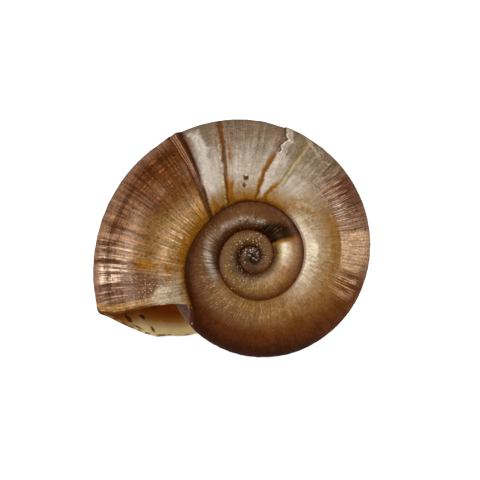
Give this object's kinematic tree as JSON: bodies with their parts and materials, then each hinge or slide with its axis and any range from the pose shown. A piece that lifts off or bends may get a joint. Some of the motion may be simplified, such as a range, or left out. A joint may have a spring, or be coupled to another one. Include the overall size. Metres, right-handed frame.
{
  "type": "land snail shell",
  "caption": "Empty flat-coiled snail shell with round whorls, a raised growth rib and an open mouth.",
  "frame": {"origin": "centre of the footprint on the ground, under the shell", "axes": "the coil axis is along Z, +Z out of the near side that faces up, the mouth opens towards -Y at the -X end"},
  "size_m": [0.03, 0.0258, 0.012],
  "materials": {
    "shell": "satin"
  },
  "bodies": {
    "root": {"shell": "shell"}
  },
  "joints": []
}
